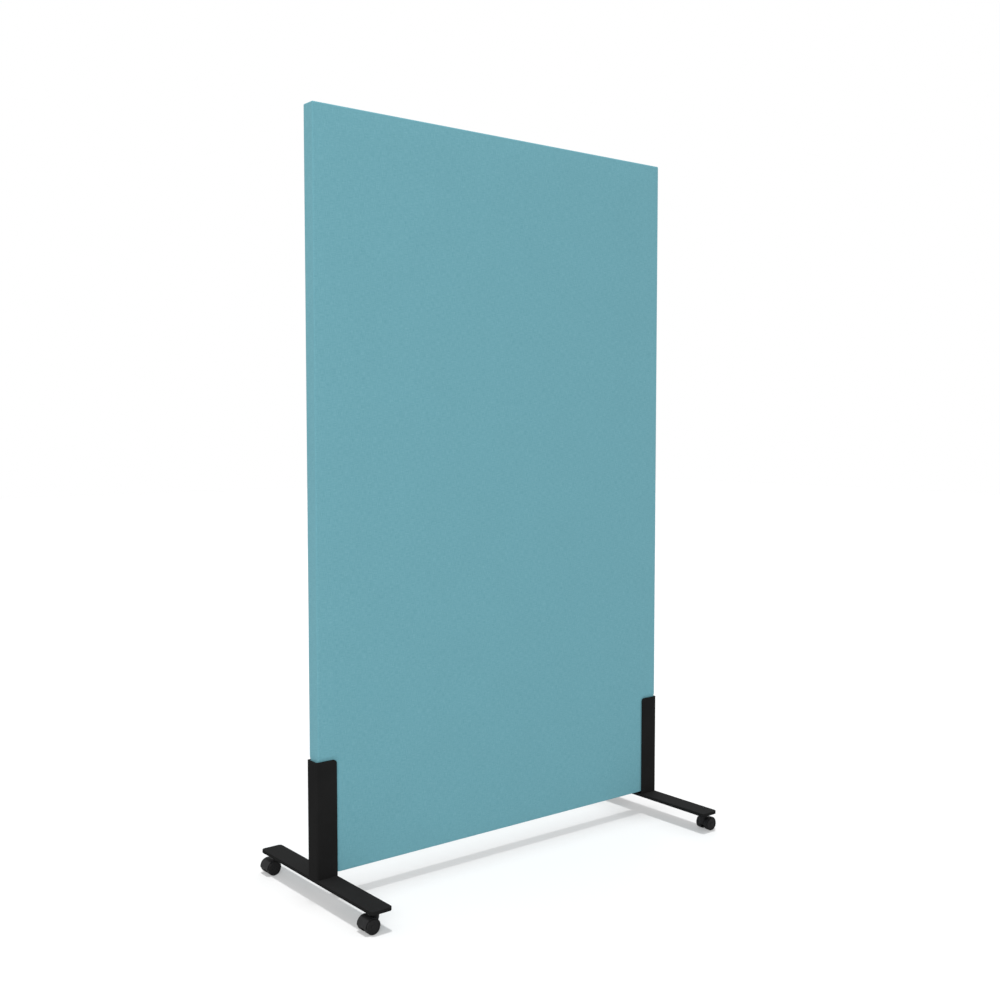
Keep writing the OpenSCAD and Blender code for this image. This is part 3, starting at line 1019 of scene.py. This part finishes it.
@dataclass
class Padding:
    """What lies under the cloth: wadding on both faces and absorber in the two bays."""

    shape: PanelShape
    frame_face: float = 14.03 * MM
    wadding_top: float = 1.05 * MM
    felt_edge: float = 1.5 * MM
    felt_edge_parts: int = 2
    felt_step: float = 16 * MM
    felt_relief: float = 0.25 * MM
    felt_waves: tuple[Point, ...] = ((61.0, 83.0, 47.0), (-97.0, 53.0, 113.0))

    def wadding(self, face: Face, material: Material) -> Object:
        """Makes a face's layer of wadding, thin where a flange presses it.

        Args:
            face: The panel's front or rear.
            material: The wadding's finish.

        Returns:
            The finished piece.
        """
        shape, shell = self.shape, Shell()
        outer = shape.skin(shape.face_grid(face), self.wadding_top)
        inner = outer.copy()
        inner[..., 1] = face.value * self.frame_face
        rear = face is Face.REAR
        holes = shape.screw_cells() if rear else []
        for layer, turned in ((outer, rear), (inner, not rear)):
            shell.grid(layer, shape.x_lines, shape.z_lines, turned, open_cells=holes)
        ends = [np.concatenate([g[:-1, 0], g[-1, :-1], g[:0:-1, -1], g[0, :0:-1]])
                for g in (outer, inner)]
        shell.rim(*ends, turned=not rear)
        for cell in holes:
            shell.rim(*(shape.cell_ring(g, cell) for g in (outer, inner)), turned=True)
        name = face.name.lower()
        piece = shell.finish(f"{name}_wadding_layer", material)
        settle(piece, "partition", "wadding", f"{name}_wadding")
        return piece

    def absorber(self, name: str, material: Material) -> Object:
        """Makes a slab of felt with soft edges and an uneven surface.

        Args:
            name: The CAD node whose space it fills.
            material: The felt's finish.

        Returns:
            The finished piece.
        """
        low, high = (np.array(c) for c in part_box(name))
        middle, half, radius = (low + high) / 2, (high - low) / 2, self.felt_edge
        arc, axes = bends(radius, self.felt_edge_parts), []
        for size in half:
            lines = grid_lines((0.0, 0.0), (size - radius, self.felt_step))
            axes.append(both_ways(lines + [lines[-1] + b for b in arc]))
        shell = Shell()
        for axis in range(3):
            first, second = [a for a in range(3) if a != axis]
            u, v = np.meshgrid(axes[first], axes[second], indexing="ij")
            for sign in (-1, 1):
                box = np.zeros((*u.shape, 3))
                box[..., first], box[..., second], box[..., axis] = u, v, sign * half[axis]
                core = np.clip(box, radius - half, half - radius)
                out = box - core
                out /= np.linalg.norm(out, axis=-1, keepdims=True)
                wave = sum(np.sin(box @ np.array(w)) for w in self.felt_waves)
                depth = radius - self.felt_relief * (0.5 + 0.25 * wave[..., None])
                shell.grid(core + out * depth + middle, axes[first], axes[second],
                           turned=(sign < 0) != (axis == 1))
        piece = shell.finish(f"{name}_slab", material)
        settle(piece, "partition", "absorber", name)
        return piece


# ---- Posts ----


@dataclass
class PostWeld:
    """The fillet weld inside a post's foot: one bead round the U, rippled by the torch."""

    leg: float = 2.9 * MM
    web_inside: float = 502.5 * MM
    flange_inside: float = 16 * MM
    start: float = 460.5 * MM
    foot_top: float = 50.5 * MM
    corner: float = 3.2 * MM
    ripple_pitch: float = 1.6 * MM
    ripple_depth: float = 0.14
    ripple_steps: float = 4.0
    bulge: float = 0.3
    arc_steps: int = 6

    def section(self) -> Object:
        """Makes the outline of a bead with legs of 1: its root, then its bulged face.

        Returns:
            The outline, as an object.
        """
        points = [(0.0, 0.0, 0.0)]
        for i in range(self.arc_steps + 1):
            share, angle = i / self.arc_steps, math.radians(90 * i / self.arc_steps)
            flat = 1 - self.bulge
            points.append((-self.bulge * math.cos(angle) - flat * (1 - share),
                           -self.bulge * math.sin(angle) - flat * share, 0.0))
        return path_object("weld_section", [points], closed=True)

    def path(self, side: Side) -> list[Point]:
        """Lays the bead's root along one flange, the web and the other flange.

        Args:
            side: The panel's end.

        Returns:
            The points, with the inside of the U on their left.
        """
        sign, bend = side.value, self.corner
        deep, wide = self.web_inside - bend, self.flange_inside - bend
        points = [(self.start, -self.flange_inside)]
        for turn, y in ((-90, -wide), (0, wide)):
            for step in range(self.arc_steps + 1):
                angle = math.radians(turn + 90 / self.arc_steps * step)
                points.append((deep + bend * math.cos(angle), y + bend * math.sin(angle)))
        points.append((self.start, self.flange_inside))
        return [(sign * x, sign * y, self.foot_top) for x, y in points]

    def tree(self) -> NodeTree:
        """Builds the Geometry Nodes tree that runs a rippled bead along a path.

        Returns:
            The tree.
        """
        tree, node, given = node_group(
            "weld_bead", ("Leg", "Ripple Pitch", "Ripple Depth"), ("Section",)
        )
        line = node("GeometryNodeMeshToCurve", {0: given["Path"]})
        step = node(
            "ShaderNodeMath", {0: given["Ripple Pitch"], 1: self.ripple_steps}, operation="DIVIDE"
        )
        fine = node("GeometryNodeResampleCurve", {"Curve": line, "Length": step}, mode="LENGTH")
        level = node("GeometryNodeSetCurveNormal", {"Curve": fine}, mode="Z_UP")
        # Each ripple rises slowly and ends in a step, as the pool freezes: the leg loses the
        # ripple's depth times the share of the ripple that has passed.
        size = node("GeometryNodeSplineParameter").outputs["Length"]
        for operation, value in (
            ("DIVIDE", given["Ripple Pitch"]), ("FRACT", 0.0), ("MULTIPLY", given["Ripple Depth"]),
            ("MULTIPLY", -1.0), ("ADD", 1.0), ("MULTIPLY", given["Leg"]),
        ):
            size = node("ShaderNodeMath", {0: size, 1: value}, operation=operation)
        held = node("GeometryNodeObjectInfo", {"Object": given["Section"]})
        outline = node("GeometryNodeMeshToCurve", {0: held.outputs["Geometry"]})
        bead = node("GeometryNodeCurveToMesh", {
            "Curve": level, "Profile Curve": outline, "Scale": size, "Fill Caps": True,
        })
        end_group(node, bead, given["Finish"])
        return tree

    def build(self, material: Material) -> None:
        """Welds both posts.

        Args:
            material: The steel's finish.
        """
        section, tree = self.section(), self.tree()
        for side in Side:
            name = side.name.lower()
            bead = grow(path_object(f"{name}_weld_path", [self.path(side)]), tree, {
                "Leg": self.leg, "Ripple Pitch": self.ripple_pitch,
                "Ripple Depth": self.ripple_depth, "Section": section,
            }, f"{name}_weld_bead", material)
            settle(bead, "partition", "black_powder_coat", f"{name}_post_weld")
        bpy.data.objects.remove(section)


# ---- Studio ----


def seen_directly(node: Maker) -> Node:
    """Tells rays from the camera, a mirror or a lens from light on the object.

    Args:
        node: Adds a node to the tree.

    Returns:
        The node whose output is 1 for such rays, and 0 for the others.
    """
    path = node("ShaderNodeLightPath")
    seen = path.outputs["Is Camera Ray"]
    for ray in ("Is Glossy Ray", "Is Transmission Ray"):
        seen = node("ShaderNodeMath", {0: seen, 1: path.outputs[ray]}, operation="MAXIMUM")
    return seen


@dataclass(frozen=True)
class WhiteFloor(Finish):
    """Pale floor that looks white: lit by the lamps, with a glow of its own added.

    The lamps fade with distance, so the glow rises from near to far to make up for it.
    """

    name: str = "white_floor"
    colour: str = "#BCBCBC"
    near: float = 0.275
    far: float = 0.325
    reach: tuple[float, float] = (1.2, 4.5)

    def surface(self, node: Maker) -> Inputs:
        """Builds the nodes on Object coordinates.

        Args:
            node: Adds a node to the material.

        Returns:
            The shader's inputs, as for feed.
        """
        place = node("ShaderNodeTexCoord").outputs["Object"]
        away = node("ShaderNodeVectorMath", {0: place}, operation="LENGTH")
        glow = node("ShaderNodeMapRange", {
            "Value": away.outputs["Value"], "From Min": self.reach[0], "From Max": self.reach[1],
            "To Min": self.near, "To Max": self.far,
        }, interpolation_type="SMOOTHSTEP")
        lift = node("ShaderNodeMath", {0: seen_directly(node), 1: glow}, operation="MULTIPLY")
        return {"Base Color": linear(self.colour), "Roughness": 1.0, "Specular IOR Level": 0.0,
                "Emission Color": (1, 1, 1, 1), "Emission Strength": lift}


@dataclass
class Studio:
    """A white floor and soft light, seen from the photograph's standpoint.

    One softbox stands high in front on the left, and the other one opposite it.
    """

    lens: float = 43.465
    sensor: float = 36.0
    standpoint: Point = (-1.7543, -2.1902, 0.9996)
    tilt: float = 86.54
    pan: float = -38.698
    floor_size: float = 30.0
    room_light: float = 0.71
    overhead: float = 2.35
    overhead_width: float = 5.5
    softbox_size: tuple[float, float] = (2.8, 1.9)
    softbox_place: Point = (4.55, 4.5, 3.2)
    front_power: float = 152.0
    rear_power: float = 66.0
    aim: Point = (0.0, 0.0, 0.95)

    def camera(self) -> None:
        """Places the camera where the photograph was taken."""
        data = bpy.data.cameras.new("photograph")
        set_all(data, {"lens": self.lens, "sensor_width": self.sensor})
        data.dof.use_dof = False
        made = add_object("photograph", data)
        made.location = self.standpoint
        made.rotation_euler = (math.radians(self.tilt), 0, math.radians(self.pan))
        bpy.context.scene.camera = made

    def floor(self) -> None:
        """Lays a pale floor that looks white, and keeps the object's shadow."""
        half = self.floor_size / 2
        mesh = bpy.data.meshes.new("floor")
        corners = [(-half, -half, 0), (half, -half, 0), (half, half, 0), (-half, half, 0)]
        mesh.from_pydata(corners, [], [(0, 1, 2, 3)])
        smooth_piece("floor", mesh, WhiteFloor().build())

    def lamp(self, name: str, kind: str, place: Point, target: Point, **settings: object) -> None:
        """Hangs a lamp.

        Args:
            name: Its name.
            kind: SUN or AREA.
            place: Where it is.
            target: What it points at.
            settings: Its strength and its other properties.
        """
        data = bpy.data.lights.new(name, kind)
        set_all(data, settings)
        made = add_object(name, data)
        made.location = place
        aim = Vector(target) - Vector(place)
        made.rotation_euler = aim.to_track_quat("-Z", "Y").to_euler()

    def light(self) -> None:
        """Lights the room evenly, with lamps overhead, high in front and dimmer behind."""
        world = bpy.data.worlds.new("room")
        world.use_nodes = True
        world.node_tree.nodes.clear()
        node = partial(add_node, world.node_tree)
        level = node("ShaderNodeMix", {0: seen_directly(node), 2: self.room_light, 3: 1.0})
        room = node("ShaderNodeBackground", {"Color": (1, 1, 1, 1), "Strength": level})
        node("ShaderNodeOutputWorld", {"Surface": room})
        bpy.context.scene.world = world
        self.lamp("overhead", "SUN", (0, 0, 4), (0, 0, 0), energy=self.overhead,
                  angle=math.radians(self.overhead_width))
        x, y, z = self.softbox_place
        length, width = self.softbox_size
        for name, power, way in (("front_softbox", self.front_power, -1),
                                 ("rear_softbox", self.rear_power, 1)):
            self.lamp(name, "AREA", (way * x, way * y, z), self.aim, energy=power,
                      shape="RECTANGLE", size=length, size_y=width)

    def build(self) -> None:
        """Sets the whole studio up."""
        bpy.context.scene.view_settings.view_transform = "Standard"
        self.camera()
        self.floor()
        self.light()


def main() -> None:
    """Builds the looks of the partition, sub-assembly by sub-assembly."""
    logging.basicConfig(level=logging.INFO, format="%(message)s")
    Studio().build()
    shape = PanelShape()
    swell = Swell(shape)
    swell.run()
    shape.swell = swell
    cover = Cover(shape)
    covering = cover.build(ScreenCloth().build())
    thread = cover.stitches(THREAD.build())
    padding = Padding(shape)
    wadding = WADDING.build()
    felt = ABSORBER_FELT.build()
    layers = [padding.wadding(face, wadding) for face in Face]
    slabs = [padding.absorber(name, felt) for name in ("upper_absorber", "lower_absorber")]
    steel = POWDER_COAT.build()
    PostWeld().build(steel)
    for endings, material in (
        ("_stile", SawnTimber("spruce_upright", Grain.ALONG_Z).build()),
        ("_rail", SawnTimber("spruce_rail", Grain.ALONG_X).build()),
        ("_dowels", DOWEL_BEECH.build()),
        (("_foot", "_post"), steel),
        ("_packing_strip", PACKING_RUBBER.build()),
        ("_post_screws", BLACK_OXIDE.build()),
        ("_post_inserts", TURNED_BRASS.build()),
        (("_stem", "_ring", "_axle"), ZINC_PLATE.build()),
        ("_housing", HOUSING_NYLON.build()),
        ("_wheel", WHEEL_NYLON.build()),
    ):
        dress(endings, material)


if __name__ == "__main__":
    main()
